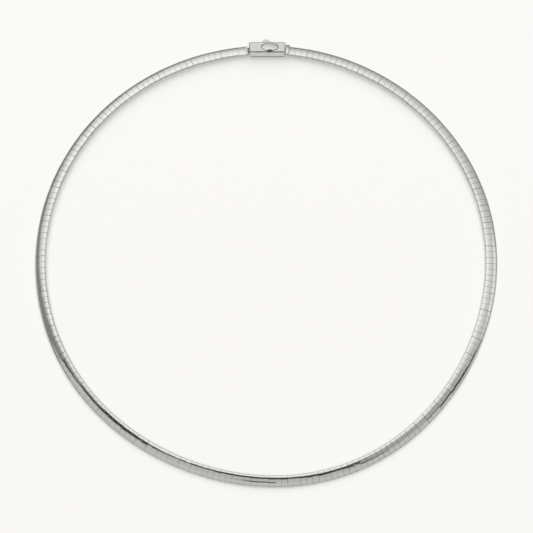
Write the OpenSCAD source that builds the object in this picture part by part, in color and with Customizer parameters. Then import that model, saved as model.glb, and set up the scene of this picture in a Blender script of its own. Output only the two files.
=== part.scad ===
/* [Ring] */
// Mean radius of the chain's loop, at the middle of its back
ring_radius = 64.2; // [55:0.1:75]
// How far the loop wanders in and out of a true circle
ring_wander = 0.25; // [0:0.05:0.4]
// How far the chain's face leans outwards from straight up beside the clasp, in degrees
chain_lean = 26; // [18:1:32]

/* [Cover plates] */
// Width across the domed chain
band_w = 3.5; // [3.2:0.1:3.7]
// Thickness of the chain, from its back to the top of the dome
band_t = 1.1; // [1.05:0.05:1.5]
// Length along the chain that one plate and its gap take up, at least
plate_pitch = 1.75; // [1.7:0.05:2.4]
// Gap between two plates at the loop's inner edge
plate_gap = 0.12; // [0.1:0.01:0.2]
// Wall of a plate
plate_wall = 0.25; // [0.2:0.01:0.28]
// Radius of the plate's crown
crown_radius = 6; // [5:0.5:9]
// Radius of the plate's rounded shoulders
shoulder_radius = 0.5; // [0.4:0.05:0.6]
// Length of each lip that is folded round the back
lip_len = 0.65; // [0.5:0.05:0.9]

/* [Woven core] */
// Width of the woven core
core_w = 2.1; // [1.6:0.1:2.1]
// Clearance all round the woven core
core_clear = 0.1; // [0.06:0.01:0.12]

/* [Chain ends] */
// Length of the smooth cap on the tongue's side
cap_len = 2.6; // [2.2:0.1:4]
// How far the cap's rim stands proud at its mouth
cap_rim = 0.1; // [0.05:0.01:0.2]
// Length of the cap's rim
cap_rim_len = 0.55; // [0.3:0.05:0.8]
// Length of the rounded collar on the clasp box's side
collar_len = 1.1; // [0.9:0.1:2]
// How far the collar stands proud of the chain
collar_proud = 0.28; // [0.1:0.02:0.3]
// Web of solid metal behind the woven core in each chain end
end_web = 0.3; // [0.2:0.05:0.4]
// Gap between the smooth cap and the clasp box
mouth_gap = 0.45; // [0.4:0.05:1]
// Gap between pieces that are seated on each other
seat_gap = 0.06; // [0.05:0.01:0.1]

/* [Clasp box] */
// Length of the clasp box along the chain
box_len = 10.5; // [9:0.1:13]
// Width of the clasp box across the chain
box_w = 4; // [3.8:0.1:4.6]
// Thickness of the clasp box
box_t = 2.15; // [2.1:0.05:2.6]
// Wall of the clasp box
box_wall = 0.3; // [0.25:0.01:0.35]
// Corner radius of the box's face
box_corner = 0.5; // [0.3:0.05:0.8]
// Radius of the box's ends where its back turns up
box_heel = 0.95; // [0.5:0.05:1.1]
// Height of the open mouth, as a share of the box's inside height
mouth_share = 0.5; // [0.4:0.05:0.6]
// Radius of the half-round lug on the outer side
lug_radius = 1.16; // [0.8:0.02:1.3]
// Reach of the lug past the outer side
lug_reach = 1.2; // [1.1:0.05:1.6]
// Thickness of the lug
lug_t = 0.7; // [0.5:0.05:1]
// How far the lug lies below the face
lug_drop = 0.1; // [0:0.05:0.4]
// Where the lug's middle stands along the box
lug_at = -0.3; // [-1:0.1:1]

/* [Push button] */
// Length of the oval button
button_len = 4.7; // [4:0.1:5]
// Width of the oval button
button_w = 2.9; // [2.3:0.1:2.9]
// Clearance round the button in its window
button_clear = 0.15; // [0.1:0.01:0.16]
// How far the button's dome stands out of the face
button_proud = 0.18; // [0.05:0.01:0.3]
// Rise of the button's dome over its own ends
button_crown = 0.22; // [0.1:0.02:0.3]
// How far the flange reaches past each end of the button
flange_reach = 0.35; // [0.3:0.01:0.45]
// Thickness of the flange
flange_t = 0.2; // [0.15:0.01:0.25]
// Travel of the button
button_travel = 0.35; // [0.2:0.01:0.4]
// Where the button's middle lies along the box
button_at = 0.75; // [0:0.05:1]
// Length of the oval thumbnail notch between the button and the face's inner edge
notch_len = 1.6; // [1.2:0.05:2]
// Width of the notch
notch_w = 0.76; // [0.6:0.02:0.9]
// Strip of the face that is left between the notch and the edge
notch_strip = 0.12; // [0.08:0.01:0.2]
// How far the notch is cut below the face's wall
notch_drop = 0.2; // [0.1:0.05:0.4]

/* [Tongue] */
// Thickness of the tongue's folded leaf
leaf_t = 0.22; // [0.18:0.01:0.24]
// Clearance of the tongue in the box
tongue_clear = 0.12; // [0.08:0.01:0.2]
// Width of the tongue's neck
neck_w = 2.2; // [1.6:0.1:2.4]
// How far the tongue's root reaches into the smooth cap
neck_seat = 0.8; // [0.5:0.05:1]

/* [Hidden] */
$fn = 48;
// the clasp stands at this place round the loop, counted from the right-hand side
clasp_place = 90;

// how the chain's lean goes round the loop: place in degrees, share of chain_lean
LIE = [[0, 0.6], [20, 0.9], [45, 0.85], [75, 1], [105, 1], [135, 1.2], [165, 1.3], [185, 1.35],
    [210, 1], [240, 0.95], [270, 1], [300, 0.9], [330, 0.75], [345, 0.6], [360, 0.6]];

// how the loop wanders: waves in one turn, height as a share of ring_wander, place of a crest
WAVES = [[2, 0.92, -25], [3, 1, 50], [4, 0.72, 22], [5, 0.45, 3]];

// the chain's section: rounded shoulders that run into a flatter crown
shoulder_x = band_w / 2 - shoulder_radius;
crown_y = band_t - crown_radius;
shoulder_y = crown_y + sqrt(pow(crown_radius - shoulder_radius, 2) - pow(shoulder_x, 2));

// the woven core lies on the lips and fills the room under the plates' crown, less its clearance
core_y = plate_wall + core_clear;
core_top = crown_y + sqrt(pow(crown_radius - plate_wall, 2) - pow(core_w / 2 + core_clear, 2)) - core_clear;
core_t = core_top - core_y;

// the clasp box: its outer edge is as low as the chain's, so that both touch the table
clasp_sag = ring_radius - sqrt(pow(ring_radius, 2) - pow(box_len / 2, 2));
clasp_rise = (box_w - band_w) / 2 * tan(chain_lean);
face_y = clasp_rise + box_t;
floor_y = clasp_rise + box_wall;
mouth_h = mouth_share * (box_t - 2 * box_wall);

// the button's flange rests under the face, and the tongue's leaf stays below the pressed button
flange_y = face_y - box_wall - seat_gap - flange_t;
leaf_top = flange_y - button_travel - seat_gap;
notch_deep = box_wall + notch_drop;
oval_sides = 48;

// ends of the chain's stretches, in degrees from the clasp
function turn(len) = len / ring_radius * 180 / PI;
box_turn = asin(box_len / 2 / ring_radius);
cap_start = box_turn + turn(mouth_gap);
cap_end = cap_start + turn(cap_len);
collar_start = box_turn + turn(seat_gap);
collar_end = collar_start + turn(collar_len);

// straight plates share what the two chain ends leave of the loop, and fan open towards its outside
run_start = clasp_place + cap_end + turn(plate_gap);
run_turn = 360 - cap_end - collar_end - turn(plate_gap);
plate_count = floor(run_turn / turn(plate_pitch));
plate_step = run_turn / plate_count;
wave_sum = [for (wave = WAVES) wave[1]] * [for (wave = WAVES) 1];
inner_radius = ring_radius - ring_wander * wave_sum - band_w / 2;
plate_len = 2 * inner_radius * tan(plate_step / 2) - plate_gap;

// the woven core runs from inside the smooth cap to inside the collar
cap_room = cap_len - neck_seat - end_web;
collar_room = collar_len - end_web;
core_start = clasp_place + cap_end - turn(cap_room - core_clear);
core_end = clasp_place + 360 - collar_end + turn(collar_room - core_clear);
core_rings = 144;

// how the chain lies at one place round the loop
function lean(place) = chain_lean * lookup((place + 360) % 360, LIE);
function loop_radius(place) = ring_radius
    + ring_wander * ([for (wave = WAVES) wave[1]] * [for (wave = WAVES) cos(wave[0] * (place - wave[2]))]);
function loop_height(place) = band_w / 2 * sin(lean(place));
// how far the chain heads away from square to its radius, in degrees
function heading(place) = atan(ring_wander / ring_radius
    * ([for (wave = WAVES) wave[0] * wave[1]] * [for (wave = WAVES) sin(wave[0] * (place - wave[2]))]));

// solid arch of the chain's section, drawn in by inset all round
module arch(inset = 0) {
    half = band_w / 2 - inset;
    intersection() {
        translate([-half, inset]) square([2 * half, band_t]);
        union() {
            translate([-half, inset]) square([2 * half, shoulder_y - inset]);
            for (side = [-1, 1]) translate([side * shoulder_x, shoulder_y]) circle(shoulder_radius - inset);
            intersection() {
                translate([0, crown_y]) circle(crown_radius - inset);
                polygon([for (corner = [[-1, 1], [-1, 2], [1, 2], [1, 1]])
                    [corner.x * corner.y * shoulder_x, crown_y + corner.y * (shoulder_y - crown_y)]]);
            }
        }
    }
}

// a plate: the arch with its wall, and two lips that leave the back open
module plate_section() {
    difference() {
        arch();
        arch(plate_wall);
        translate([lip_len - band_w / 2, -plate_wall]) square([band_w - 2 * lip_len, 3 * plate_wall]);
    }
}

// room for the woven core in a chain end
module core_room() {
    translate([-core_w / 2 - core_clear, core_y - core_clear])
        square([core_w + 2 * core_clear, core_t + 2 * core_clear]);
}

// stands a section across the chain at one place and gives it a length along the chain
module across(place, len) {
    rotate([0, 0, place])
        translate([loop_radius(place), 0, loop_height(place)])
            rotate([90, 0, heading(place)]) rotate([0, 0, -lean(place)])
                linear_extrude(len, center = true) children();
}

// the clasp's own frame: x along the chain, y outwards across it, z out of its face
module at_clasp() {
    translate([0, loop_radius(clasp_place) - clasp_sag, loop_height(clasp_place)])
        rotate([-lean(clasp_place), 0, 0])
            children();
}

module plates() {
    color("gainsboro")
        for (i = [0 : plate_count - 1])
            across(run_start + (i + 0.5) * plate_step, plate_len) plate_section();
}

// one ring of the woven core's four corners
function core_ring(place) =
    let (r = loop_radius(place), z = loop_height(place), tilt = lean(place))
    [for (corner = [[-1, 0], [1, 0], [1, 1], [-1, 1]])
        let (x = corner.x * core_w / 2, y = core_y + corner.y * core_t)
        let (out = r + x * cos(tilt) + y * sin(tilt), up = z - x * sin(tilt) + y * cos(tilt))
        [out * cos(place), out * sin(place), up]];

module mesh_core() {
    points = [for (i = [0 : core_rings])
        each core_ring(core_start + (core_end - core_start) * i / core_rings)];
    sides = [for (i = [0 : core_rings - 1], k = [0 : 3])
        [4 * i + k, 4 * i + (k + 1) % 4, 4 * i + 4 + (k + 1) % 4, 4 * i + 4 + k]];
    first = [3, 2, 1, 0];
    last = [for (k = [0 : 3]) 4 * core_rings + k];
    color("silver") polyhedron(points, concat([first], sides, [last]));
}

// the chain's section grown all round, and lifted so that its edge still clears the table
module proud_arch(proud) {
    translate([0, proud * (1 + tan(chain_lean))]) arch(-proud);
}

// smooth cap with a rim at its mouth, a slot for the tongue's root and room for the woven core
module tail_cap() {
    middle = clasp_place + (cap_start + cap_end) / 2;
    rim_middle = clasp_place + cap_start + turn(cap_rim_len / 2);
    room_middle = clasp_place + cap_end - turn(cap_room / 2);
    slot_w = neck_w + 2 * core_clear;
    slot_reach = mouth_gap + neck_seat + core_clear;
    color("whitesmoke") difference() {
        union() {
            across(middle, cap_len) arch();
            across(rim_middle, cap_rim_len) proud_arch(cap_rim);
        }
        across(room_middle, cap_room + core_clear) core_room();
        at_clasp() translate([-box_len / 2 - slot_reach, -slot_w / 2, floor_y + tongue_clear - core_clear])
            cube([slot_reach, slot_w, leaf_t + 2 * core_clear]);
    }
}

// bright collar that holds the chain's other end against the clasp box
module end_collar() {
    middle = clasp_place - (collar_start + collar_end) / 2;
    room_middle = clasp_place - collar_end + turn(collar_room / 2);
    color("whitesmoke") difference() {
        across(middle, collar_len) proud_arch(collar_proud);
        across(room_middle, collar_room + core_clear) core_room();
    }
}

// turns an elevation, x along the clasp and y out of its face, into a bar across the clasp
module bar(width) {
    rotate([90, 0, 0]) linear_extrude(width, center = true) children();
}

// the box's face with its four rounded corners
module face_plan() {
    long = box_len - 2 * box_corner;
    wide = box_w - 2 * box_corner;
    square([box_len, wide], center = true);
    square([long, box_w], center = true);
    for (x = [-1, 1], y = [-1, 1]) translate([x * long / 2, y * wide / 2]) circle(box_corner);
}

// the box seen along its width: flat face, and ends that turn up from its back
module box_side(inset = 0) {
    half = box_len / 2 - inset;
    heel = box_heel - inset;
    low = clasp_rise + inset;
    translate([-half, low + heel]) square([2 * half, box_t - 2 * inset - heel]);
    translate([heel - half, low]) square([2 * (half - heel), box_t - 2 * inset]);
    for (x = [-1, 1]) translate([x * (half - heel), low + heel]) circle(heel);
}

// an ellipse drawn by its formula, for the button and its window
module oval(len, width) {
    polygon([for (i = [0 : oval_sides - 1])
        let (t = 360 * i / oval_sides) [len / 2 * cos(t), width / 2 * sin(t)]]);
}

// thumbnail notch, cut into the face's inner strip and the button's side
module notch() {
    translate([button_at, notch_strip + (notch_w - box_w) / 2, face_y - notch_deep])
        linear_extrude(box_t) oval(notch_len, notch_w);
}

// hollow box, open at the tongue's end under a lip that the tongue catches behind
module clasp_box() {
    room_w = box_w - 2 * box_wall;
    color("whitesmoke") at_clasp() {
        difference() {
            intersection() {
                translate([0, 0, clasp_rise]) linear_extrude(box_t) face_plan();
                bar(box_w) box_side();
            }
            bar(room_w) box_side(box_wall);
            translate([-box_len, -room_w / 2, floor_y]) cube([box_len, room_w, mouth_h]);
            translate([button_at, 0, face_y - 2 * box_wall]) linear_extrude(3 * box_wall)
                oval(button_len + 2 * button_clear, button_w + 2 * button_clear);
            notch();
        }
        translate([0, 0, face_y - lug_drop - lug_t]) linear_extrude(lug_t) intersection() {
            translate([lug_at, box_w / 2 + lug_reach - lug_radius]) circle(lug_radius);
            translate([-box_len / 2, (box_w - box_wall) / 2]) square([box_len, lug_reach + box_wall]);
        }
    }
}

// domed oval button, kept in by a flange that reaches under the face at both ends
module push_button() {
    dome = (pow(button_len / 2, 2) + pow(button_crown, 2)) / (2 * button_crown);
    color("gainsboro") at_clasp() difference() {
        translate([button_at, 0, 0]) {
            intersection() {
                translate([0, 0, flange_y]) linear_extrude(box_t) oval(button_len, button_w);
                translate([0, 0, face_y + button_proud - dome]) sphere(dome, $fn = 96);
            }
            translate([0, 0, flange_y]) linear_extrude(flange_t)
                oval(button_len + 2 * flange_reach, button_w + button_clear);
        }
        notch();
    }
}

// folded leaf: its root is held in the smooth cap, its sprung end stands up behind the box's lip
module tongue() {
    low = floor_y + tongue_clear;
    root_x = -box_len / 2 - mouth_gap - neck_seat;
    tip_x = box_len / 2 - box_wall - box_heel;
    end_x = -box_len / 2 + box_wall + tongue_clear;
    leaf_w = box_w - 2 * box_wall - 2 * tongue_clear;
    color("silver") at_clasp() {
        bar(leaf_w) {
            translate([end_x, low]) square([tip_x - end_x, leaf_t]);
            translate([tip_x, low + leaf_t]) circle(leaf_t);
            polygon([[tip_x, low + leaf_t], [tip_x, low + 2 * leaf_t],
                [end_x, leaf_top], [end_x, leaf_top - leaf_t]]);
        }
        bar(neck_w) translate([root_x, low]) square([end_x - root_x + leaf_t, leaf_t]);
    }
}

plates();
mesh_core();
tail_cap();
end_collar();
clasp_box();
push_button();
tongue();
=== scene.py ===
import math

import bmesh
import bpy
from mathutils import Matrix, Quaternion, Vector


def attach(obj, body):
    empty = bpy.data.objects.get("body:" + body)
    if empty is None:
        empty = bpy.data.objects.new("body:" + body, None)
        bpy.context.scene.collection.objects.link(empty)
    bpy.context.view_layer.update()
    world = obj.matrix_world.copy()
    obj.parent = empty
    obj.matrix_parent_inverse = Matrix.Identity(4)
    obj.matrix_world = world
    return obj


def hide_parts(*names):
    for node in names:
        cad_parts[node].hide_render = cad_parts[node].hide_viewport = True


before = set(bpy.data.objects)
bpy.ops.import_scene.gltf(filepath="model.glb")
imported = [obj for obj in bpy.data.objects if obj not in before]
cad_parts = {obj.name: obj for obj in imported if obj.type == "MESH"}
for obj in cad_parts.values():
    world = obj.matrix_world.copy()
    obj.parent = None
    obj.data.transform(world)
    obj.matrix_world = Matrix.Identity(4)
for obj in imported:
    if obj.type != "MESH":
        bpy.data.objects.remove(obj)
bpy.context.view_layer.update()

MM = 0.001

# Sizes in metres and angles in degrees, named as in the part's source: first the loop
RING_RADIUS = 64.2 * MM
RING_WANDER = 0.25 * MM
CHAIN_LEAN = 26
CLASP_PLACE = 90
# The chain: its band, the plates and the woven core inside them
BAND_W = 3.5 * MM
BAND_T = 1.1 * MM
PLATE_PITCH = 1.75 * MM
PLATE_WALL = 0.25 * MM
CROWN_RADIUS = 6 * MM
SHOULDER_RADIUS = 0.5 * MM
LIP_LEN = 0.65 * MM
CORE_W = 2.1 * MM
CORE_CLEAR = 0.1 * MM
# The chain's two ends
CAP_LEN = 2.6 * MM
COLLAR_LEN = 1.1 * MM
COLLAR_PROUD = 0.28 * MM
MOUTH_GAP = 0.45 * MM
SEAT_GAP = 0.06 * MM
# The clasp box with its lug
BOX_LEN = 10.5 * MM
BOX_W = 4 * MM
BOX_T = 2.15 * MM
BOX_CORNER = 0.5 * MM
BOX_WALL = 0.3 * MM
LUG_RADIUS = 1.16 * MM
LUG_AT = -0.3 * MM
# The push button and the thumbnail notch
BUTTON_AT = 0.75 * MM
BUTTON_LEN = 4.7 * MM
BUTTON_W = 2.9 * MM
BUTTON_CLEAR = 0.15 * MM
BUTTON_PROUD = 0.18 * MM
BUTTON_CROWN = 0.22 * MM
FLANGE_REACH = 0.35 * MM
FLANGE_T = 0.2 * MM
NOTCH_LEN = 1.6 * MM
NOTCH_W = 0.76 * MM
NOTCH_STRIP = 0.12 * MM

# How the chain's lean goes round the loop: place in degrees, share of CHAIN_LEAN
LIE = [
    (0, 0.6), (20, 0.9), (45, 0.85), (75, 1), (105, 1), (135, 1.2), (165, 1.3), (185, 1.35),
    (210, 1), (240, 0.95), (270, 1), (300, 0.9), (330, 0.75), (345, 0.6), (360, 0.6),
]
# How the loop wanders: waves in one turn, height as a share of RING_WANDER, place of a crest
WAVES = [(2, 0.92, -25), (3, 1, 50), (4, 0.72, 22), (5, 0.45, 3)]

# Plates close up: the seam between two, their rounded ends, the ridge round their middle, and how far each
# is turned at random at most
PLATE_SEAM = 0.035 * MM
PLATE_EDGE = 0.035 * MM
PLATE_RIDGE = 0.006 * MM
PLATE_TURN = (math.radians(0.8), math.radians(0.4), math.radians(1.1))
PLATE_SEED = 7
# The weave close up: from row to row, strands in a row, and a strand's width, depth, half length and slant
WEAVE_PITCH = 0.42 * MM
STRANDS = 4
STRAND_W = 0.3 * MM
STRAND_T = 0.14 * MM
STRAND_REACH = 0.34 * MM
STRAND_SLANT = 0.34 * MM
# Shares of a strand: how much of its length lies flat, how deep its ends dip and how they narrow as they do
STRAND_FLAT = 0.45
STRAND_DIP = 0.9
STRAND_TAPER = 0.45
# How far the core reaches into the tail cap and into the collar
CORE_IN_CAP = 1.4 * MM
CORE_IN_COLLAR = 0.7 * MM
# The clasp close up: the rounding of the lid's edge and of all others, the lid and the groove under it
BOX_EDGE = 0.1 * MM
FINE_EDGE = 0.05 * MM
EDGE_STEPS = 3
LID_T = 0.13 * MM
LID_GROOVE = 0.12 * MM
# How deep the notch is bitten, and what a spot's shares in its oval, squared, add up to just past its wall
NOTCH_DEEP = 0.5 * MM
NOTCH_WALL = 0.251
# How far the painted shade of the border reaches in from the lid's edge, and the painted shade of the foot up
# the box's sides
BORDER_W = 0.22 * MM
FOOT_W = 0.45 * MM
# In a copy of a CAD node, points closer than this are one, faces that turn less are one, and edges that turn
# more are rounded
SAME_POINT = 0.001 * MM
SAME_FACE = math.radians(1)
SHARP_EDGE = math.radians(32)
# An edge of a rounded form shows sharp past this angle, and one of the weave past the other
FORM_SHARP = 50
WEAVE_SHARP = 60
# How squarely a face looks out of the clasp, as a cosine: more than this on the lug's top and on the lid, and
# less on the button's side
LUG_LOOK = 0.95
LID_LOOK = 0.99
SIDE_LOOK = 0.5
# Rings of the button: of its rim, drawn in and dropped by shares of FINE_EDGE, and of its dome, by shares of
# its size
BUTTON_RIM = [(0, 1), (0.3, 0.3), (1, 0)]
BUTTON_DOME = (0.955, 0.94, 0.8, 0.6, 0.4, 0.2, 0.08)
# The collar's rounding along its length: rings, how full its curve is, and the share of the curve that it has
COLLAR_STEPS = 10
COLLAR_POWER = 3
COLLAR_SHARE = 0.98

# The photograph's view: picture side in pixels, focal length in those pixels, where the camera stands, and
# how near and how far it sees
PICTURE = 533
FOCAL_PX = 4537
SENSOR = 36
VIEW_ELEVATION = math.radians(73.7)
VIEW_DISTANCE = 1.3
VIEW_ROLL = math.radians(0.2)
VIEW_TARGET = Vector((0, -0.78 * MM, 0))
VIEW_LIMITS = (0.05, 20)


# The loop that the chain lies in
def lookup(table, place):
    """The value at a place, straight between the two rows of the table round it."""
    for (start, low), (end, high) in zip(table, table[1:]):
        if start <= place <= end:
            return low + (high - low) * (place - start) / (end - start)


def lean(place):
    """How far the chain leans outwards at a place."""
    return math.radians(CHAIN_LEAN * lookup(LIE, place % 360))


def loop_radius(place):
    """How far the middle of the chain's back lies from the loop's middle, as the loop wanders."""
    return RING_RADIUS + RING_WANDER * sum(
        height * math.cos(math.radians(waves * (place - crest))) for waves, height, crest in WAVES
    )


def loop_height(place):
    """How high the middle of the chain's back lies, so that its outer foot rests on the table."""
    return BAND_W / 2 * math.sin(lean(place))


def heading(place):
    """How far the wandering loop turns from a true circle at a place."""
    return math.atan(RING_WANDER / RING_RADIUS * sum(
        waves * height * math.sin(math.radians(waves * (place - crest))) for waves, height, crest in WAVES
    ))


def turn(length):
    """The turn round the loop, in degrees, that a length along the chain takes up."""
    return math.degrees(length / RING_RADIUS)


def section_frame(place):
    """Stands a section in the room: x across the chain, y from its back to its crown, z along it."""
    return (
        Matrix.Rotation(math.radians(place), 4, "Z")
        @ Matrix.Translation((loop_radius(place), 0, loop_height(place)))
        @ Matrix.Rotation(heading(place), 4, "Z")
        @ Matrix.Rotation(math.radians(90), 4, "X")
        @ Matrix.Rotation(-lean(place), 4, "Z")
    )


BOX_TURN = math.degrees(math.asin(BOX_LEN / 2 / RING_RADIUS))
CAP_END = BOX_TURN + turn(MOUTH_GAP + CAP_LEN)
COLLAR_START = BOX_TURN + turn(SEAT_GAP)
COLLAR_END = COLLAR_START + turn(COLLAR_LEN)
RUN_START = CLASP_PLACE + CAP_END
RUN_TURN = 360 - CAP_END - COLLAR_END
PLATE_COUNT = int(RUN_TURN / turn(PLATE_PITCH))
PLATE_STEP = RUN_TURN / PLATE_COUNT

# The chain's section: rounded shoulders that run into a flatter crown
SHOULDER_X = BAND_W / 2 - SHOULDER_RADIUS
CROWN_Y = BAND_T - CROWN_RADIUS
SHOULDER_Y = CROWN_Y + math.sqrt((CROWN_RADIUS - SHOULDER_RADIUS) ** 2 - SHOULDER_X ** 2)
CROWN_TURN = math.asin(SHOULDER_X / (CROWN_RADIUS - SHOULDER_RADIUS))
CORE_Y = PLATE_WALL + CORE_CLEAR
CORE_TOP = (CROWN_Y - CORE_CLEAR
            + math.sqrt((CROWN_RADIUS - PLATE_WALL) ** 2 - (CORE_W / 2 + CORE_CLEAR) ** 2))


def arc(centre_x, centre_y, radius, start, end, steps):
    """Points of an arc from one angle to another, both ends with it."""
    angles = [start + (end - start) * i / steps for i in range(steps + 1)]
    return [(centre_x + radius * math.cos(a), centre_y + radius * math.sin(a)) for a in angles]


def arch_path(inset, shoulder_steps=3, crown_steps=6):
    """The section's line from the foot of its inner side over the crown to the foot of its outer side."""
    half = BAND_W / 2 - inset
    upright = math.pi / 2
    shoulder = SHOULDER_RADIUS - inset
    left = arc(-SHOULDER_X, SHOULDER_Y, shoulder, math.pi, upright + CROWN_TURN, shoulder_steps)
    crown = arc(0, CROWN_Y, CROWN_RADIUS - inset, upright + CROWN_TURN, upright - CROWN_TURN, crown_steps)
    right = arc(SHOULDER_X, SHOULDER_Y, shoulder, upright - CROWN_TURN, 0, shoulder_steps)
    return [(-half, inset), *left, *crown[1:-1], *right, (half, inset)]


# Meshes
def closed_mesh(name, points, faces, sharp=30, shade_painted_faces=()):
    """A closed mesh: faces turned outwards, edges past an angle in degrees sharp, and the faces that get
    painted shade marked.
    """
    mesh = bpy.data.meshes.new(name)
    mesh.from_pydata(points, [], faces)
    mark = mesh.attributes.new("recess", "BOOLEAN", "FACE")
    for face in shade_painted_faces:
        mark.data[face].value = True
    shell = bmesh.new()
    shell.from_mesh(mesh)
    bmesh.ops.recalc_face_normals(shell, faces=shell.faces)
    shell.to_mesh(mesh)
    shell.free()
    mesh.shade_smooth()
    mesh.set_sharp_from_angle(angle=math.radians(sharp))
    return mesh


def piece(name, mesh, *materials):
    """Puts a mesh into the scene as an object, with its finishes."""
    made = bpy.data.objects.new(name, mesh)
    bpy.context.scene.collection.objects.link(made)
    if materials:
        mesh.materials.clear()
        for material in materials:
            mesh.materials.append(material)
    return made


def loft(rings):
    """Points and faces of a closed solid through rings of as many points each, with flat ends."""
    count = len(rings[0])
    points = [point for ring in rings for point in ring]
    faces = [
        (r * count + i, r * count + (i + 1) % count, (r + 1) * count + (i + 1) % count, (r + 1) * count + i)
        for r in range(len(rings) - 1) for i in range(count)
    ]
    last = (len(rings) - 1) * count
    return points, [*faces, tuple(range(count)), tuple(range(last, last + count))]


def evaluated_mesh(made):
    """The object's mesh with its modifiers worked in; the object itself is removed."""
    graph = bpy.context.evaluated_depsgraph_get()
    mesh = bpy.data.meshes.new_from_object(
        made.evaluated_get(graph), preserve_all_data_layers=True, depsgraph=graph
    )
    bpy.data.objects.remove(made)
    return mesh


def replacement(node, mesh, body="necklace"):
    """Shows a mesh in the place of a CAD node and lets it ride on the node's body."""
    mesh.name = node + "_looks"
    made = piece(node + "_looks", mesh)
    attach(made, body)
    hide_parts(node)
    return made


# Node trees
def add_node(tree, kind, values=None, **settings):
    """Adds a node, sets its own settings, and sets or links its inputs, given by name or number."""
    made = tree.nodes.new(kind)
    for name, value in settings.items():
        setattr(made, name, value)
    for name, value in (values or {}).items():
        if isinstance(value, bpy.types.NodeSocket):
            tree.links.new(value, made.inputs[name])
        else:
            made.inputs[name].default_value = value
    return made


def new_geometry_tree(name, inputs):
    """A geometry tree with named inputs; returns it, its input node's outputs and a function that ends it."""
    tree = bpy.data.node_groups.new(name, "GeometryNodeTree")
    tree.interface.new_socket("Geometry", in_out="INPUT", socket_type="NodeSocketGeometry")
    finishes = [("Finish", "NodeSocketMaterial"), ("Painted shade finish", "NodeSocketMaterial")]
    for socket, kind in (*inputs, *finishes):
        tree.interface.new_socket(socket, in_out="INPUT", socket_type=kind)
    tree.interface.new_socket("Geometry", in_out="OUTPUT", socket_type="NodeSocketGeometry")
    given = tree.nodes.new("NodeGroupInput").outputs

    def end(geometry):
        real = add_node(tree, "GeometryNodeRealizeInstances", {"Geometry": geometry})
        recess = add_node(tree, "GeometryNodeInputNamedAttribute", {"Name": "recess"}, data_type="BOOLEAN")
        finished = add_node(tree, "GeometryNodeSetMaterial",
                            {"Geometry": real.outputs[0], "Material": given["Finish"]})
        # The marked faces get the painted shade finish, a darker silver that stands in for shade.
        shade_painted = add_node(tree, "GeometryNodeSetMaterial", {
            "Geometry": finished.outputs[0], "Selection": recess.outputs[0],
            "Material": given["Painted shade finish"],
        })
        tree.links.new(shade_painted.outputs[0], tree.nodes.new("NodeGroupOutput").inputs["Geometry"])

    return tree, given, end


def grown(guide, tree, values):
    """Runs a geometry tree on a guide object with the given inputs and returns the plain mesh."""
    grower = guide.modifiers.new(tree.name, "NODES")
    grower.node_group = tree
    for socket in tree.interface.items_tree:
        if socket.in_out == "INPUT" and socket.name in values:
            grower[socket.identifier] = values[socket.name]
    return evaluated_mesh(guide)


def station_line(name, places, lift=0.0):
    """Loose points along the chain, lifted off its back, that keep the directions across and along it."""
    frames = [section_frame(place) for place in places]
    mesh = bpy.data.meshes.new(name)
    mesh.from_pydata([frame_at @ Vector((0, lift, 0)) for frame_at in frames], [], [])
    for label, column in (("across", 0), ("along", 2)):
        values = mesh.attributes.new(label, "FLOAT_VECTOR", "POINT")
        for value, frame_at in zip(values.data, frames):
            value.vector = frame_at.col[column].to_3d()
    return piece(name, mesh)


def station_turn(tree):
    """Turns what is set on a station line to lie across and along the chain."""
    across = add_node(tree, "GeometryNodeInputNamedAttribute", {"Name": "across"}, data_type="FLOAT_VECTOR")
    along = add_node(tree, "GeometryNodeInputNamedAttribute", {"Name": "along"}, data_type="FLOAT_VECTOR")
    return add_node(
        tree, "FunctionNodeAxesToRotation", {0: along.outputs[0], 1: across.outputs[0]},
        primary_axis="Z", secondary_axis="X",
    ).outputs[0]


# Cover plates
def plate_mesh():
    """One plate with rounded ends; its ends stand on the loop's radii, so that the seams are even."""
    middle_lean = math.radians(CHAIN_LEAN)
    spread = math.tan(math.radians(PLATE_STEP / 2))

    def half_len(x, y):
        return (RING_RADIUS + x * math.cos(middle_lean) + y * math.sin(middle_lean)) * spread - PLATE_SEAM / 2

    def wrapped(inset, **steps):
        lip = BAND_W / 2 - LIP_LEN
        return [(-lip, inset), *arch_path(inset, **steps), (lip, inset)]

    ridge, outer, drawn_in = wrapped(0), wrapped(PLATE_RIDGE), wrapped(PLATE_RIDGE + PLATE_EDGE)
    inner = wrapped(PLATE_WALL, shoulder_steps=1, crown_steps=2)
    ends = [(drawn_in, 0), (outer, PLATE_EDGE)]
    rings = [[(x, y, back - half_len(x, y)) for x, y in path] for path, back in ends]
    rings += [[(x, y, 0) for x, y in ridge], *([(x, y, -z) for x, y, z in ring] for ring in reversed(rings))]
    inside = [[(x, y, side * half_len(x, y)) for x, y in inner] for side in (-1, 1)]
    points = [point for ring in (*rings, *inside) for point in ring]
    count, step, last = len(outer), len(inner), len(rings) - 1
    under = (last + 1) * count
    shell = [
        (r * count + i, r * count + i + 1, (r + 1) * count + i + 1, (r + 1) * count + i)
        for r in range(last) for i in range(count - 1)
    ]
    hidden = [(under + i, under + i + 1, under + step + i + 1, under + step + i) for i in range(step - 1)]
    # the two ends, and the two lips' edges; these faces and the inside get painted shade, which also darkens
    # the seams between plates
    hidden.append((*range(count), *range(under + step - 1, under - 1, -1)))
    hidden.append((*range(last * count, under), *range(under + 2 * step - 1, under + step - 1, -1)))
    lips = [
        (*(lip + r * count for r in range(last + 1)), low + step, low)
        for lip, low in ((0, under), (count - 1, under + step - 1))
    ]
    faces = [*shell, *lips, *hidden]
    shade_painted_faces = range(len(shell) + len(lips), len(faces))
    return closed_mesh("plate", points, faces, shade_painted_faces=shade_painted_faces)


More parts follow.
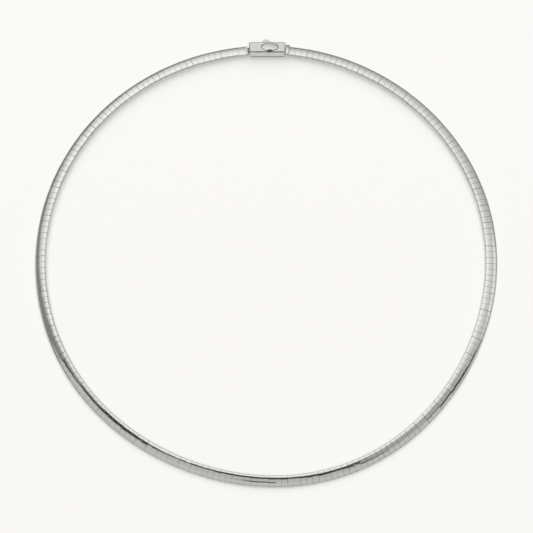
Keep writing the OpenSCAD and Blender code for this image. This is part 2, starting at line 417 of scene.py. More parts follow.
def plate_tree():
    """Sets a plate on each point of a station line and turns it a little about its outer foot."""
    tree, given, end = new_geometry_tree("plates on the chain", [
        ("Plate", "NodeSocketObject"), ("Turn", "NodeSocketVector"), ("Foot", "NodeSocketVector"),
        ("Seed", "NodeSocketInt"),
    ])
    plate = add_node(tree, "GeometryNodeObjectInfo", {"Object": given["Plate"], "As Instance": True})
    set_out = add_node(tree, "GeometryNodeInstanceOnPoints", {
        "Points": given["Geometry"], "Instance": plate.outputs["Geometry"], "Rotation": station_turn(tree),
    })
    back = add_node(tree, "ShaderNodeVectorMath", {0: given["Turn"], "Scale": -1.0}, operation="SCALE")
    chance = add_node(tree, "FunctionNodeRandomValue", {
        "Min": back.outputs[0], "Max": given["Turn"], "Seed": given["Seed"],
    }, data_type="FLOAT_VECTOR")
    turned = add_node(tree, "GeometryNodeRotateInstances", {
        "Instances": set_out.outputs[0], "Rotation": chance.outputs["Value"], "Pivot Point": given["Foot"],
    })
    end(turned.outputs[0])
    return tree


def make_plates(finish, painted_shade_finish):
    """The run of plates, each with a very small turn of its own, lifted so that none sinks into the table."""
    pattern = piece("plate_pattern", plate_mesh())
    places = [RUN_START + (i + 0.5) * PLATE_STEP for i in range(PLATE_COUNT)]
    lift = PLATE_PITCH / 2 * math.sin(PLATE_TURN[0])
    mesh = grown(station_line("plate_line", places, lift), plate_tree(), {
        "Plate": pattern, "Turn": PLATE_TURN, "Foot": (BAND_W / 2, 0, 0), "Seed": PLATE_SEED,
        "Finish": finish, "Painted shade finish": painted_shade_finish,
    })
    bpy.data.objects.remove(pattern)
    return replacement("plates", mesh)


# Woven core
CORE_START = CLASP_PLACE + CAP_END - turn(CORE_IN_CAP)
CORE_END = CLASP_PLACE + 360 - COLLAR_END + turn(CORE_IN_COLLAR)


def core_band(steps=288):
    """The core's closed band, a little thinner than the weave that lies on it; all of it gets painted shade,
    for the shade under the strands.
    """
    rings = []
    low, high, half = CORE_Y + STRAND_T / 2, CORE_TOP, CORE_W / 2
    for i in range(steps + 1):
        stand = section_frame(CORE_START + (CORE_END - CORE_START) * i / steps)
        corners = ((-half, low), (half, low), (half, high), (-half, high))
        rings.append([stand @ Vector((x, y, 0)) for x, y in corners])
    points, faces = loft(rings)
    return closed_mesh("core_band", points, faces, shade_painted_faces=range(len(faces)))


def weave_row(name, hand):
    """A row of slanted strands, each of which rises out of the band and dips back into it."""
    stations = [(-1, STRAND_DIP), (-STRAND_FLAT, 0), (STRAND_FLAT, 0), (1, STRAND_DIP)]
    points, faces = [], []
    for strand in range(STRANDS):
        middle = CORE_W * ((strand + 0.5) / STRANDS - 0.5)
        rings = []
        for share, dip in stations:
            x = middle + hand * share * STRAND_SLANT / 2
            y = CORE_Y + STRAND_T * (0.5 + dip)
            z = share * STRAND_REACH
            side, thick = STRAND_W / 2 * (1 - STRAND_TAPER * dip), STRAND_T / 2
            rings.append([(x - side, y, z), (x, y - thick, z), (x + side, y, z), (x, y + thick, z)])
        more_points, more_faces = loft(rings)
        faces += [tuple(i + len(points) for i in face) for face in more_faces]
        points += more_points
    return closed_mesh(name, points, faces, sharp=WEAVE_SHARP)


def weave_tree():
    """Sets right and left rows of strands on the points of a station line by turns, and adds the band."""
    tree, given, end = new_geometry_tree("weave on the core", [
        ("Right row", "NodeSocketObject"), ("Left row", "NodeSocketObject"), ("Band", "NodeSocketObject"),
    ])
    index = tree.nodes.new("GeometryNodeInputIndex")
    odd = add_node(tree, "ShaderNodeMath", {0: index.outputs[0], 1: 2.0}, operation="MODULO")
    even = add_node(tree, "ShaderNodeMath", {0: 1.0, 1: odd.outputs[0]}, operation="SUBTRACT")
    lie = station_turn(tree)
    together = tree.nodes.new("GeometryNodeJoinGeometry")
    for row, chosen in (("Right row", odd), ("Left row", even)):
        strands = add_node(tree, "GeometryNodeObjectInfo", {"Object": given[row], "As Instance": True})
        rows = add_node(tree, "GeometryNodeInstanceOnPoints", {
            "Points": given["Geometry"], "Selection": chosen.outputs[0],
            "Instance": strands.outputs["Geometry"], "Rotation": lie,
        })
        tree.links.new(rows.outputs[0], together.inputs[0])
    band = add_node(tree, "GeometryNodeObjectInfo", {"Object": given["Band"]})
    tree.links.new(band.outputs["Geometry"], together.inputs[0])
    end(together.outputs[0])
    return tree


def make_core(finish, painted_shade_finish):
    """The flat woven core: rows of strands laid over its closed band."""
    rows = int(RING_RADIUS * math.radians(CORE_END - CORE_START) / WEAVE_PITCH)
    places = [CORE_START + (CORE_END - CORE_START) * (i + 0.5) / rows for i in range(rows)]
    right, left = (piece(n, weave_row(n, hand)) for n, hand in (("right_row", 1), ("left_row", -1)))
    band = piece("core_band", core_band())
    mesh = grown(station_line("core_line", places), weave_tree(), {
        "Right row": right, "Left row": left, "Band": band, "Finish": finish, "Painted shade finish": painted_shade_finish,
    })
    for pattern in (right, left, band):
        bpy.data.objects.remove(pattern)
    return replacement("mesh_core", mesh)


# Clasp and chain ends
CLASP_SAG = RING_RADIUS - math.sqrt(RING_RADIUS ** 2 - (BOX_LEN / 2) ** 2)
CLASP_RISE = (BOX_W - BAND_W) / 2 * math.tan(math.radians(CHAIN_LEAN))
CLASP_FACE = CLASP_RISE + BOX_T
NOTCH_MIDDLE = NOTCH_STRIP + (NOTCH_W - BOX_W) / 2


def clasp_frame():
    """The clasp's own frame: x along the chain, y outwards across it, z out of its face."""
    place = (0, loop_radius(CLASP_PLACE) - CLASP_SAG, loop_height(CLASP_PLACE))
    return Matrix.Translation(place) @ Matrix.Rotation(-lean(CLASP_PLACE), 4, "X")


def cut(made, cutter):
    """Takes a cutter's shape away from an object; the cut faces get the cutter's finish."""
    bite = made.modifiers.new("cut", "BOOLEAN")
    bite.operation = "DIFFERENCE"
    bite.solver = "MANIFOLD"
    bite.object = cutter
    bite.material_mode = "TRANSFER"


def clasp_solid(name, rings):
    """A closed solid through rings of points that are given in the clasp's frame."""
    stand = clasp_frame()
    return closed_mesh(name, *loft([[stand @ Vector(spot) for spot in ring] for ring in rings]))


def eased_copy(node, *finishes, edge_finish=-1, cutter=None):
    """A copy of a CAD node with its triangles merged and its edges rounded, most on the lid, and cut."""
    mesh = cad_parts[node].data.copy()
    shell = bmesh.new()
    shell.from_mesh(mesh)
    bmesh.ops.remove_doubles(shell, verts=shell.verts, dist=SAME_POINT)
    bmesh.ops.dissolve_limit(shell, angle_limit=SAME_FACE, verts=shell.verts, edges=shell.edges)
    rounded = shell.edges.layers.float.new("bevel_weight_edge")
    to_clasp = clasp_frame().inverted()
    for edge in shell.edges:
        x, y, z = to_clasp @ ((edge.verts[0].co + edge.verts[1].co) / 2)
        beside = max(abs(x) - BOX_LEN / 2, abs(y) - BOX_W / 2) + BOX_CORNER / 2
        on_lid = node == "clasp_box" and beside > 0 and abs(z - CLASP_FACE) < FINE_EDGE
        if edge.calc_face_angle(0) > SHARP_EDGE:
            edge[rounded] = 1 if on_lid else FINE_EDGE / BOX_EDGE
    shell.to_mesh(mesh)
    shell.free()
    mesh.shade_smooth()
    copy = piece(node + "_copy", mesh, *finishes)
    rounding = copy.modifiers.new("rounded edges", "BEVEL")
    rounding.width = BOX_EDGE
    rounding.segments = EDGE_STEPS
    rounding.limit_method = "WEIGHT"
    rounding.use_clamp_overlap = False
    # The rounded edges may get a finish of their own; the box's get painted shade, which draws them as dark
    # outlines.
    rounding.material = edge_finish
    if cutter:
        cut(copy, cutter)
    even = copy.modifiers.new("flat faces stay flat", "WEIGHTED_NORMAL")
    even.keep_sharp = True
    made = evaluated_mesh(copy)
    if cutter:
        bpy.data.objects.remove(cutter)
    return made


def box_outline(outset, steps=6):
    """The box's outline on its face, moved out a little, from one side of the lug round to the other."""
    reach = BOX_CORNER + outset
    x, y = BOX_LEN / 2 - BOX_CORNER, BOX_W / 2 - BOX_CORNER
    corners = ((-x, y, 90), (-x, -y, 180), (x, -y, 270), (x, y, 360))
    line = [
        point for cx, cy, start in corners
        for point in arc(cx, cy, reach, math.radians(start), math.radians(start + 90), steps)
    ]
    beside = LUG_RADIUS + LID_GROOVE
    return [(LUG_AT - beside, y + reach), *line, (LUG_AT + beside, y + reach)]


def lid_groove(finish):
    """What is cut away round the box, just under the edge of its soldered lid; its cut faces get painted
    shade.
    """
    high = CLASP_FACE - LID_T
    low = high - LID_GROOVE
    rings = [
        [(*deep, low), (*clear, low), (*clear, high), (*deep, high)]
        for deep, clear in zip(box_outline(-LID_GROOVE), box_outline(LID_GROOVE))
    ]
    return piece("lid_groove", clasp_solid("lid_groove", rings), finish)


def refinish(mesh, number, chosen):
    """Gives one of a mesh's finishes to the faces that a rule picks by centre and normal at the clasp."""
    to_clasp = clasp_frame().inverted()
    turned = to_clasp.to_3x3()
    for face in mesh.polygons:
        if chosen(to_clasp @ face.center, turned @ face.normal):
            face.material_index = number


def make_box(finish, shade_finish, lug_finish, lid_finish, notch_finish):
    """The box with painted shade on its rounded edges, in its groove and inside it, a bright lug, a lid of
    its own finish and painted shade in the notch.
    """
    finishes = (finish, shade_finish, lug_finish, lid_finish, notch_finish)
    dark, lug, lid, notch = range(1, len(finishes))
    mesh = eased_copy("clasp_box", *finishes, edge_finish=dark, cutter=lid_groove(shade_finish))
    middle = Vector((BUTTON_AT, 0, CLASP_RISE + BOX_T / 2))
    inner = BOX_W / 2 - FINE_EDGE

    # Faces that look into the box get painted shade.
    def inside(centre, normal):
        return normal.dot(centre - middle) < 0 and abs(centre.y) < inner

    # Faces round the notch get the notch's painted shade.
    def at_notch(centre, normal):
        return -inner < centre.y < -BUTTON_W / 2 and CLASP_FACE - BOX_WALL < centre.z < CLASP_FACE

    def on_lug(centre, normal):
        return centre.y > BOX_W / 2 + FINE_EDGE and normal.z > LUG_LOOK

    def on_lid(centre, normal):
        return centre.z > CLASP_FACE - FINE_EDGE / 2 and normal.z > LID_LOOK

    for number, chosen in ((dark, inside), (notch, at_notch), (lug, on_lug), (lid, on_lid)):
        refinish(mesh, number, chosen)
    replacement("clasp_box", mesh)


def oval(length, width, height, middle=0.0, sides=64):
    """A ring of points in the clasp's frame; its height is a number or goes by x and y."""
    ring = []
    for i in range(sides):
        angle = 2 * math.pi * i / sides
        x, y = length / 2 * math.cos(angle), width / 2 * math.sin(angle)
        ring.append((BUTTON_AT + x, middle + y, height(x, y) if callable(height) else height))
    return ring


def notch_cutter(finish):
    """What is bitten out of the button's edge for a thumbnail; its cut faces carry the notch's painted shade.
    """
    rings = [
        oval(NOTCH_LEN, NOTCH_W, height, NOTCH_MIDDLE)
        for height in (CLASP_FACE - NOTCH_DEEP, CLASP_FACE + BOX_T)
    ]
    return piece("notch", clasp_solid("notch", rings), finish)


def button_rings():
    """Rings from the button's flange, which stays under the box's face, up its side and over its dome."""
    dome = ((BUTTON_LEN / 2) ** 2 + BUTTON_CROWN ** 2) / (2 * BUTTON_CROWN)

    def crown(drop):
        return lambda x, y: CLASP_FACE + BUTTON_PROUD - dome + math.sqrt(dome ** 2 - x ** 2 - y ** 2) - drop

    low = CLASP_FACE - BOX_WALL - SEAT_GAP - FLANGE_T
    flange = (BUTTON_LEN + 2 * FLANGE_REACH, BUTTON_W + BUTTON_CLEAR)
    rings = [oval(*flange, low), oval(*flange, low + FLANGE_T), oval(BUTTON_LEN, BUTTON_W, low + FLANGE_T)]
    for inset, drop in BUTTON_RIM:
        back = 2 * inset * FINE_EDGE
        rings.append(oval(BUTTON_LEN - back, BUTTON_W - back, crown(drop * FINE_EDGE)))
    rings += [oval(BUTTON_LEN * share, BUTTON_W * share, crown(0)) for share in BUTTON_DOME]
    return rings


def make_button(finish, shade_finish, notch_finish):
    """The domed button with a soft rim and the notch's bite; its side, where it slides in the window, gets
    painted shade for the dark gap round it.
    """
    made = piece("button", clasp_solid("button", button_rings()), finish, shade_finish)
    cutter = notch_cutter(notch_finish)
    cut(made, cutter)
    mesh = evaluated_mesh(made)
    bpy.data.objects.remove(cutter)
    mesh.set_sharp_from_angle(angle=math.radians(FORM_SHARP))

    # The button's side gets painted shade.
    def on_side(centre, normal):
        share = ((centre.x - BUTTON_AT) / NOTCH_LEN) ** 2 + ((centre.y - NOTCH_MIDDLE) / NOTCH_W) ** 2
        return abs(normal.z) < SIDE_LOOK and share > NOTCH_WALL

    refinish(mesh, 1, on_side)
    replacement("push_button", mesh, "button")


def make_collar(finish):
    """A bright collar, rounded along its length."""
    lift = COLLAR_PROUD * (1 + math.tan(math.radians(CHAIN_LEAN)))
    rings = []
    for i in range(COLLAR_STEPS + 1):
        share = math.cos(math.pi * i / COLLAR_STEPS)
        swell = COLLAR_PROUD * (1 - abs(COLLAR_SHARE * share) ** COLLAR_POWER) ** (1 / COLLAR_POWER)
        place = CLASP_PLACE - (COLLAR_START + COLLAR_END + share * (COLLAR_END - COLLAR_START)) / 2
        stand = section_frame(place)
        path = arch_path(-swell, shoulder_steps=5, crown_steps=8)
        rings.append([stand @ Vector((x, y + lift, 0)) for x, y in path])
    mesh = closed_mesh("collar", *loft(rings), sharp=FORM_SHARP)
    mesh.materials.append(finish)
    return replacement("end_collar", mesh)


# Shared effects of the finishes

# Hairlines: how their two fields are turned, how thin they are drawn out, the part of a field that shows,
# and how far they stand out
HAIRLINE_TURNS = [(0.3, angle, angle * 0.7) for angle in (0.4, 1.9)]
HAIRLINE_STRETCH = (160, 9000, 160)
HAIRLINE_LIMITS = (0.6, 0.78)
HAIRLINE_DEPTH = 0.002 * MM
HAIRLINE_NOISE = {"Detail": 2.0, "Roughness": 0.6}
HAIRLINE_CLOUDS = {"Scale": 260.0, "Detail": 3.0}
# Grain: how fine it is, the part of its field that shows in the colour, and how far it stands out
GRAIN_SCALE = 2600.0
GRAIN_LIMITS = (0.35, 0.65)
GRAIN_DEPTH = 0.02 * MM
GRAIN_NOISE = {"Detail": 4.0, "Roughness": 0.7}
GRAIN_CLOUDS = {"Scale": 500.0, "Detail": 2.0}
# The part of the grain's clouds that shows in the roughness
CLOUD_LIMITS = (0.3, 0.7)
# Where the painted shade of the border and of the foot fades out, as shares of their widths
BORDER_FADE = (-1.1, -0.8)
FOOT_FADE = (0.6, 1.1)


def blend_colour(tree, share, first, second):
    """Blends two colours, given or from sockets, by a share."""
    ends = [end if isinstance(end, bpy.types.NodeSocket) else (*end, 1) for end in (first, second)]
    return add_node(tree, "ShaderNodeMix", {0: share, 6: ends[0], 7: ends[1]}, data_type="RGBA").outputs[2]


def blend_tone(tree, share, first, second):
    """Blends two tones by a share."""
    mixed = add_node(tree, "ShaderNodeMix", {0: share, 2: first, 3: second}, data_type="FLOAT")
    return mixed.outputs[0]


def spread_value(tree, share, low, high, start=0.0, end=1.0):
    """Spreads a share that runs from start to end over the values from low to high."""
    return add_node(tree, "ShaderNodeMapRange", {
        "Value": share, "From Min": start, "From Max": end, "To Min": low, "To Max": high,
    }).outputs[0]


def combined(tree, operation, first, second):
    """Two values put together by a math operation."""
    return add_node(tree, "ShaderNodeMath", {0: first, 1: second}, operation=operation).outputs[0]


def new_shader_group(name, inputs, outputs):
    """A shader group with named sockets; returns it, what is given to it and where its results go."""
    group = bpy.data.node_groups.new(name, "ShaderNodeTree")
    for label, kind, value in inputs:
        socket = group.interface.new_socket(label, in_out="INPUT", socket_type=kind)
        socket.default_value = value
    for label, kind in outputs:
        group.interface.new_socket(label, in_out="OUTPUT", socket_type=kind)
    given = group.nodes.new("NodeGroupInput").outputs
    result = group.nodes.new("NodeGroupOutput").inputs
    return group, given, result


def hairline_group():
    """Fine rubbing marks: thin broken lines in two directions, and soft cloudy patches."""
    group, given, result = new_shader_group("rubbed hairlines", [
        ("Scale", "NodeSocketFloat", 1.0), ("Amount", "NodeSocketFloat", 0.5),
    ], [("Lines", "NodeSocketFloat"), ("Clouds", "NodeSocketFloat")])
    place = group.nodes.new("ShaderNodeTexCoord").outputs["Object"]
    fields = []
    for turned in HAIRLINE_TURNS:
        laid = add_node(group, "ShaderNodeMapping", {
            "Vector": place, "Rotation": turned, "Scale": HAIRLINE_STRETCH,
        })
        field = add_node(group, "ShaderNodeTexNoise", {
            "Vector": laid.outputs[0], "Scale": given["Scale"], **HAIRLINE_NOISE,
        })
        fields.append(spread_value(group, field.outputs[0], 0, 1, *HAIRLINE_LIMITS))
    lines = combined(group, "MULTIPLY", combined(group, "MAXIMUM", *fields), given["Amount"])
    clouds = add_node(group, "ShaderNodeTexNoise", {"Vector": place, **HAIRLINE_CLOUDS})
    group.links.new(lines, result["Lines"])
    group.links.new(clouds.outputs[0], result["Clouds"])
    return group


def grain_group():
    """Even fine grain, as a satin finish has."""
    group, given, result = new_shader_group("satin grain", [
        ("Scale", "NodeSocketFloat", GRAIN_SCALE),
    ], [("Grain", "NodeSocketFloat"), ("Clouds", "NodeSocketFloat")])
    place = group.nodes.new("ShaderNodeTexCoord").outputs["Object"]
    grain = add_node(group, "ShaderNodeTexNoise", {"Vector": place, "Scale": given["Scale"], **GRAIN_NOISE})
    clouds = add_node(group, "ShaderNodeTexNoise", {"Vector": place, **GRAIN_CLOUDS})
    group.links.new(grain.outputs[0], result["Grain"])
    group.links.new(clouds.outputs[0], result["Clouds"])
    return group


def painted_edge_shade_group():
    """Where painted shade darkens the clasp along its lid's border and along its foot, the dark that its
    rounded edges show.
    """
    group, given, result = new_shader_group("painted edge shade", [
        ("Border width", "NodeSocketFloat", BORDER_W), ("Foot width", "NodeSocketFloat", FOOT_W),
    ], [("Border", "NodeSocketFloat"), ("Foot", "NodeSocketFloat")])
    stand = clasp_frame()
    place = add_node(group, "ShaderNodeMapping", {
        "Vector": group.nodes.new("ShaderNodeTexCoord").outputs["Object"],
        "Location": stand.translation, "Rotation": stand.to_euler(),
    }, vector_type="TEXTURE")
    parts = add_node(group, "ShaderNodeSeparateXYZ", {0: place.outputs[0]}).outputs
    past = [
        combined(group, "SUBTRACT", combined(group, "ABSOLUTE", part, 0.0), side / 2)
        for part, side in ((parts[0], BOX_LEN), (parts[1], BOX_W))
    ]
    nearest = combined(group, "MAXIMUM", *past)
    share = combined(group, "DIVIDE", nearest, given["Border width"])
    group.links.new(spread_value(group, share, 0, 1, *BORDER_FADE), result["Border"])
    over_foot = combined(group, "SUBTRACT", parts[2], CLASP_RISE)
    height = combined(group, "DIVIDE", over_foot, given["Foot width"])
    group.links.new(spread_value(group, height, 1, 0, *FOOT_FADE), result["Foot"])
    return group


HAIRLINES = hairline_group()
GRAIN = grain_group()
EDGE_SHADE = painted_edge_shade_group()


# Finishes
def new_material(name, metallic=0.0):
    """A new material; returns it, its node tree and its shader's inputs."""
    material = bpy.data.materials.new(name)
    material.use_nodes = True
    inputs = material.node_tree.nodes["Principled BSDF"].inputs
    inputs["Metallic"].default_value = metallic
    return material, material.node_tree, inputs


def add_relief(tree, inputs, height, relief, depth):
    """Lets fine marks stand out from the surface."""
    bump = add_node(tree, "ShaderNodeBump", {"Height": height, "Strength": relief, "Distance": depth})
    tree.links.new(bump.outputs[0], inputs["Normal"])


def polished_silver(name, dull, bright, roughness, relief):
    """Bright silver in two cloudy tones, with hairline marks that are rougher than the rest."""
    material, tree, inputs = new_material(name, metallic=1.0)
    rubbed = add_node(tree, "ShaderNodeGroup", node_tree=HAIRLINES)
    lines, clouds = rubbed.outputs["Lines"], rubbed.outputs["Clouds"]
    tree.links.new(blend_colour(tree, clouds, dull, bright), inputs["Base Color"])
    tree.links.new(spread_value(tree, lines, *roughness), inputs["Roughness"])
    add_relief(tree, inputs, lines, relief, HAIRLINE_DEPTH)
    return material


def satin_silver(name, dull, bright, roughness, relief, painted_shade_tone=None, border="Border", metallic=1.0):
    """Silver with fine grain in two tones; where a tone of painted shade is given, the lid's border or the
    box's foot has it.
    """
    material, tree, inputs = new_material(name, metallic)
    satin = add_node(tree, "ShaderNodeGroup", node_tree=GRAIN)
    grain, clouds = satin.outputs["Grain"], satin.outputs["Clouds"]
    colour = blend_colour(tree, spread_value(tree, grain, 0, 1, *GRAIN_LIMITS), dull, bright)
    if painted_shade_tone:
        share = add_node(tree, "ShaderNodeGroup", node_tree=EDGE_SHADE).outputs[border]
        colour = blend_colour(tree, share, colour, painted_shade_tone)
    tree.links.new(colour, inputs["Base Color"])
    tree.links.new(spread_value(tree, clouds, *roughness, *CLOUD_LIMITS), inputs["Roughness"])
    add_relief(tree, inputs, grain, relief, GRAIN_DEPTH)
    return material


# Studio
FLOOR_SIDE = 6.0
FLOOR_ROUGHNESS = 0.9
FLOOR_TONE = (0.576, 0.57, 0.55)
FLOOR_GLOW = (0.38, 0.377, 0.363)
# How light the table is, and how much it glows, where the metal mirrors it: near the loop and far behind it
MIRRORED_TABLE = (0.56, 0.56, 0.55)
FAR_TABLE = (0.24, 0.24, 0.235)
MIRRORED_GLOW = (0.12, 0.12, 0.118)
FAR_GLOW = (0, 0, 0)
# Where the table counts as far behind the loop: how far off its middle, and where along y
BEHIND_FROM = (64 * MM, 67 * MM)
BEHIND_SIDE = (-30 * MM, 20 * MM)
# The glow inside the back of the loop, and where along y it takes over
BACK_GLOW = (0.05, 0.05, 0.049)
BACK_SIDE = (10 * MM, 50 * MM)
# The metal mirrors a large window on the far left, a grey room before it and a dark strip between the two:
# the way to the window's middle, the way that the dividing plane faces, and how softly the room ends
WINDOW_WAY = (-0.369, 0.527, 0.766)
DIVIDE_WAY = (0, 0.945, 0.326)
DIVIDE_SOFT = 0.01
# The window's brightness: cosine of the angle from its middle, tone
WINDOW_TONES = [
    (-1, 0.4), (0, 0.47), (0.3, 0.52), (0.5, 0.58), (0.62, 0.66), (0.8, 0.86), (0.94, 0.97), (1, 1),
]
# Shares of that brightness: by height over the horizon, as a sine, and by x of the direction
HORIZON_TONES = [
    (-1, 0.6), (0, 0.62), (0.07, 0.74), (0.17, 0.83), (0.25, 0.84), (0.37, 0.88), (0.48, 0.96), (1, 1),
]
LEFT_TONES = [(-1, 0.86), (-0.74, 0.86), (-0.6, 0.98), (-0.5, 1), (1, 1)]
# The room's brightness: height over the horizon, as a sine, tone
ROOM_TONES = [
    (-1, 0.14), (0.12, 0.14), (0.3, 0.5), (0.48, 0.51), (0.57, 0.54), (0.65, 0.57), (0.72, 0.53),
    (0.78, 0.49), (1, 0.5),
]
# Where the strip runs: x of the direction, height of its middle over the dividing plane and its half width
STRIP_LINE = [
    (-1, 0, 0), (-0.86, 0, 0), (-0.8, 0.04, 0), (-0.73, 0.09, 0.015), (-0.67, 0.12, 0.03),
    (-0.61, 0.105, 0.028), (-0.57, 0.08, 0.04), (-0.53, 0.075, 0.07), (-0.49, 0.07, 0.09),
    (-0.46, 0.035, 0.095), (-0.42, 0.04, 0.105), (-0.37, 0.085, 0.11), (-0.31, 0.15, 0.11),
    (-0.27, 0.085, 0.08), (-0.24, 0.06, 0.055), (-0.17, 0.06, 0.065), (-0.13, 0.08, 0.13),
    (-0.02, 0.09, 0.15), (0.04, 0.04, 0.12), (0.12, 0.04, 0.12), (0.17, 0.03, 0.14),
    (0.21, 0.075, 0.125), (0.25, 0.01, 0.055), (0.28, -0.07, 0.03), (0.32, -0.12, 0.02),
    (0.38, -0.17, 0.025), (0.42, -0.14, 0.03), (0.45, -0.03, 0.03), (0.48, 0.06, 0), (1, 0.1, 0),
]
STRIP_TONE = 0.05
# A ramp holds no tones below nothing, so the strip's heights are lifted in theirs and lowered after it
STRIP_LIFT = 0.5
# A strip or bar with a smaller half width than this isn't there
LEAST_HALF = 0.001
# Short dark bars: middle in x and over the dividing plane, half width and half height, and how far they slant
BARS = [((-0.065, -0.36), (0.055, 0.025), 0), ((0.72, 0.06), (0.09, 0.065), 0.85)]
BAR_SOFT = 0.05
# A dark corner on the left, below a slanting plane, and a grey one on the right: x of the direction, share
CORNER_WAY = (-0.43, 0.66, 0.616)
CORNER_LIMIT = 0.76
CORNER_TONE = 0.23
CORNER_SOFT = 0.06
CORNER_SHARES = [(-1, 1), (-0.8, 1), (-0.7, 0.88), (-0.5, 0.85), (-0.4, 0.75), (-0.3, 0.4), (-0.2, 0), (1, 0)]
GREY_LIMIT = 0.29
GREY_TONE = 0.37
GREY_SHARES = [(-1, 0), (0.17, 0), (0.25, 0.9), (0.5, 0.9), (0.58, 0.5), (0.66, 0), (1, 0)]
# A small reflecting card low on the right: cosine of the angle from its middle, tone
CARD_WAY = (0.8, 0.2, 0.566)
CARD_TONES = [(-1, 0), (0.972, 0), (0.99, 0.3), (1, 0.3)]
# What the table gets from all sides, and what the camera sees past it
SKY_TONE = 0.2
BACKDROP_TONE = 0.93
# The lamp over the table: its place, its sides and its power in watts
LAMP_PLACE = (0, 0.6, 1.8)
LAMP_SIDES = (1.5, 4.4)
LAMP_POWER = 55.4


def make_floor():
    """The table; where the metal mirrors it, it has tones of its own and is darker far behind the loop."""
    half = FLOOR_SIDE / 2
    corners = [(-half, -half, 0), (half, -half, 0), (half, half, 0), (-half, half, 0)]
    mesh = bpy.data.meshes.new("table")
    mesh.from_pydata(corners, [], [(0, 1, 2, 3)])
    material, tree, inputs = new_material("white_table")
    inputs["Roughness"].default_value = FLOOR_ROUGHNESS
    inputs["Specular IOR Level"].default_value = 0.0
    inputs["Emission Strength"].default_value = 1.0
    place = tree.nodes.new("ShaderNodeTexCoord").outputs["Object"]
    reach = add_node(tree, "ShaderNodeVectorMath", {0: place}, operation="LENGTH").outputs["Value"]
    side = add_node(tree, "ShaderNodeSeparateXYZ", {0: place}).outputs[1]
    outside = spread_value(tree, reach, 0, 1, *BEHIND_FROM)
    behind = combined(tree, "MULTIPLY", outside, spread_value(tree, side, 0, 1, *BEHIND_SIDE))
    tone = blend_colour(tree, behind, MIRRORED_TABLE, FAR_TABLE)
    back = spread_value(tree, side, 0, 1, *BACK_SIDE)
    glow = blend_colour(tree, behind, blend_colour(tree, back, MIRRORED_GLOW, BACK_GLOW), FAR_GLOW)
    mirrored = tree.nodes.new("ShaderNodeLightPath").outputs["Is Glossy Ray"]
    tree.links.new(blend_colour(tree, mirrored, FLOOR_TONE, tone), inputs["Base Color"])
    tree.links.new(blend_colour(tree, mirrored, FLOOR_GLOW, glow), inputs["Emission Color"])
    piece("table", mesh, material)


def ramp(tree, value, rows):
    """A ramp over places from -1 to 1 through rows of a place and one to three shares from 0 to 1."""
    made = add_node(tree, "ShaderNodeValToRGB", {"Fac": spread_value(tree, value, 0, 1, -1, 1)})
    stops = made.color_ramp.elements
    while len(stops) < len(rows):
        stops.new(0.5)
    for stop, (place, *shares) in zip(stops, rows):
        stop.position = (place + 1) / 2
        stop.color = (*shares, *[shares[-1]] * (3 - len(shares)), 1)
    return made.outputs[0]


def within(tree, value, middle, half, soft=0.02):
    """One within a half width of a middle and nothing outside it, with a soft limit."""
    away = combined(tree, "ABSOLUTE", combined(tree, "SUBTRACT", value, middle), 0.0)
    inside = spread_value(tree, combined(tree, "SUBTRACT", away, half), 1, 0, 0, soft)
    return combined(tree, "MULTIPLY", inside, combined(tree, "GREATER_THAN", half, LEAST_HALF))


def below(tree, value, limit, soft=0.03):
    """One below a limit and nothing above it, softly."""
    return spread_value(tree, value, 1, 0, limit - soft, limit + soft)


def make_surroundings():
    """What the metal mirrors, and the even light that the table gets."""
    world = bpy.data.worlds.new("studio")
    bpy.context.scene.world = world
    world.use_nodes = True
    tree = world.node_tree
    tree.nodes.clear()
    way = tree.nodes.new("ShaderNodeTexCoord").outputs["Generated"]

    def along(direction):
        made = add_node(tree, "ShaderNodeVectorMath", {0: way, 1: direction}, operation="DOT_PRODUCT")
        return made.outputs["Value"]

    across, up, side = along((1, 0, 0)), along((0, 0, 1)), along(DIVIDE_WAY)
    far = ramp(tree, along(WINDOW_WAY), WINDOW_TONES)
    far = combined(tree, "MULTIPLY", far, ramp(tree, across, LEFT_TONES))
    far = combined(tree, "MULTIPLY", far, ramp(tree, up, HORIZON_TONES))
    far = combined(tree, "ADD", far, ramp(tree, along(CARD_WAY), CARD_TONES))
    corner = below(tree, along(CORNER_WAY), CORNER_LIMIT, CORNER_SOFT)
    corner = combined(tree, "MULTIPLY", corner, ramp(tree, across, CORNER_SHARES))
    grey = combined(tree, "MULTIPLY", below(tree, side, GREY_LIMIT), ramp(tree, across, GREY_SHARES))
    far = blend_tone(tree, grey, blend_tone(tree, corner, far, CORNER_TONE), GREY_TONE)

    line = ramp(tree, across, [(x, middle + STRIP_LIFT, half) for x, middle, half in STRIP_LINE])
    strip = add_node(tree, "ShaderNodeSeparateColor", {0: line}).outputs
    middle = combined(tree, "SUBTRACT", strip[0], STRIP_LIFT)
    near = below(tree, combined(tree, "SUBTRACT", side, middle), 0, DIVIDE_SOFT)
    room = blend_tone(tree, near, far, ramp(tree, up, ROOM_TONES))
    dark = within(tree, side, middle, strip[1])
    for (x, height), (half_x, half_height), slant in BARS:
        over = combined(tree, "SUBTRACT", side, height)
        straight = combined(tree, "SUBTRACT", across, combined(tree, "MULTIPLY", over, slant))
        tall = within(tree, over, 0, half_height, BAR_SOFT)
        bar = combined(tree, "MULTIPLY", within(tree, straight, x, half_x), tall)
        dark = combined(tree, "MAXIMUM", dark, bar)
    mirrored = blend_tone(tree, dark, room, STRIP_TONE)

    path = tree.nodes.new("ShaderNodeLightPath")
    light = blend_tone(tree, path.outputs["Is Glossy Ray"], SKY_TONE, mirrored)
    light = blend_tone(tree, path.outputs["Is Camera Ray"], light, BACKDROP_TONE)
    shown = add_node(tree, "ShaderNodeBackground", {"Color": light, "Strength": 1.0})
    tree.links.new(shown.outputs[0], tree.nodes.new("ShaderNodeOutputWorld").inputs[0])


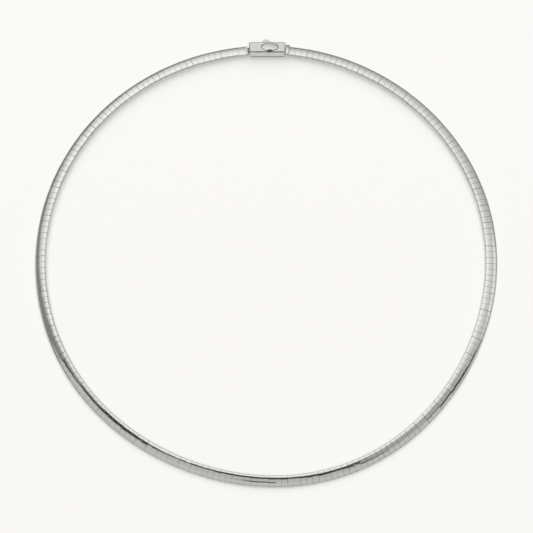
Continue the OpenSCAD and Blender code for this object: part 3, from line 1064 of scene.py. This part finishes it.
def make_lamp():
    """A large soft lamp that lights the table and doesn't show in the metal."""
    lamp = bpy.data.lights.new("table_lamp", "AREA")
    lamp.shape = "RECTANGLE"
    lamp.size, lamp.size_y = LAMP_SIDES
    lamp.energy = LAMP_POWER
    made = bpy.data.objects.new("table_lamp", lamp)
    made.location = LAMP_PLACE
    made.rotation_euler.x = -math.atan2(LAMP_PLACE[1], LAMP_PLACE[2])
    made.visible_glossy = made.visible_camera = False
    bpy.context.scene.collection.objects.link(made)


def make_camera():
    """The camera, where the photograph was taken from."""
    lens = bpy.data.cameras.new("photograph_view")
    lens.sensor_width = SENSOR
    lens.lens = FOCAL_PX / PICTURE * SENSOR
    lens.clip_start, lens.clip_end = VIEW_LIMITS
    made = bpy.data.objects.new("photograph_view", lens)
    back = Vector((0, -math.cos(VIEW_ELEVATION), math.sin(VIEW_ELEVATION)))
    made.location = VIEW_TARGET + VIEW_DISTANCE * back
    made.rotation_mode = "QUATERNION"
    level = (-back).to_track_quat("-Z", "Y")
    made.rotation_quaternion = level @ Quaternion((0, 0, 1), VIEW_ROLL)
    bpy.context.scene.collection.objects.link(made)
    bpy.context.scene.camera = made


make_camera()
make_floor()
make_surroundings()
make_lamp()
bpy.context.scene.view_settings.view_transform = "Standard"

bright_silver = polished_silver(
    "polished_silver", dull=(0.86, 0.852, 0.825), bright=(0.95, 0.942, 0.915), roughness=(0.07, 0.3),
    relief=0.3,
)
# Painted shade on the box's foot.
box_silver = satin_silver(
    "satin_silver", dull=(0.9, 0.893, 0.865), bright=(1, 0.992, 0.962), roughness=(0.14, 0.32), relief=0.6,
    painted_shade_tone=(0.4, 0.395, 0.383), border="Foot",
)
# Painted shade along the lid's border.
lid_silver = satin_silver(
    "lid_silver", dull=(0.86, 0.853, 0.825), bright=(1, 0.992, 0.962), roughness=(0.1, 0.24), relief=0.6,
    painted_shade_tone=(0.3, 0.296, 0.288),
)
wire_silver = satin_silver(
    "woven_silver", dull=(0.5, 0.49, 0.47), bright=(0.75, 0.74, 0.72), roughness=(0.28, 0.45), relief=0.3,
)
# Painted shade: the tongue is dark silver, standing in for the shade in the gap at the box's mouth.
tongue_shade_metal = satin_silver(
    "spring_silver", dull=(0.26, 0.255, 0.245), bright=(0.38, 0.375, 0.36), roughness=(0.3, 0.45), relief=0.3,
)
# Painted shade in the thumbnail notch: a dark, dull silver that stands in for the shade there.
painted_notch_shade = satin_silver(
    "painted_notch_shade", dull=(0.16, 0.157, 0.15), bright=(0.3, 0.295, 0.28), roughness=(0.5, 0.7), relief=0.3,
    metallic=0.2,
)
# Painted shade: a dark silver that stands in for the shade in the seams, under the weave, in the box's
# groove, inside the box, on its rounded edges and round the button.
painted_shade_metal = satin_silver(
    "painted_shade_silver", dull=(0.1, 0.098, 0.094), bright=(0.2, 0.195, 0.187), roughness=(0.35, 0.55),
    relief=0.3,
)

make_plates(bright_silver, painted_shade_metal)
make_core(wire_silver, painted_shade_metal)
make_collar(bright_silver)
replacement("tail_cap", eased_copy("tail_cap", bright_silver))
make_box(box_silver, painted_shade_metal, bright_silver, lid_silver, painted_notch_shade)
make_button(bright_silver, painted_shade_metal, painted_notch_shade)
# The tongue carries painted shade.
replacement("tongue", eased_copy("tongue", tongue_shade_metal))
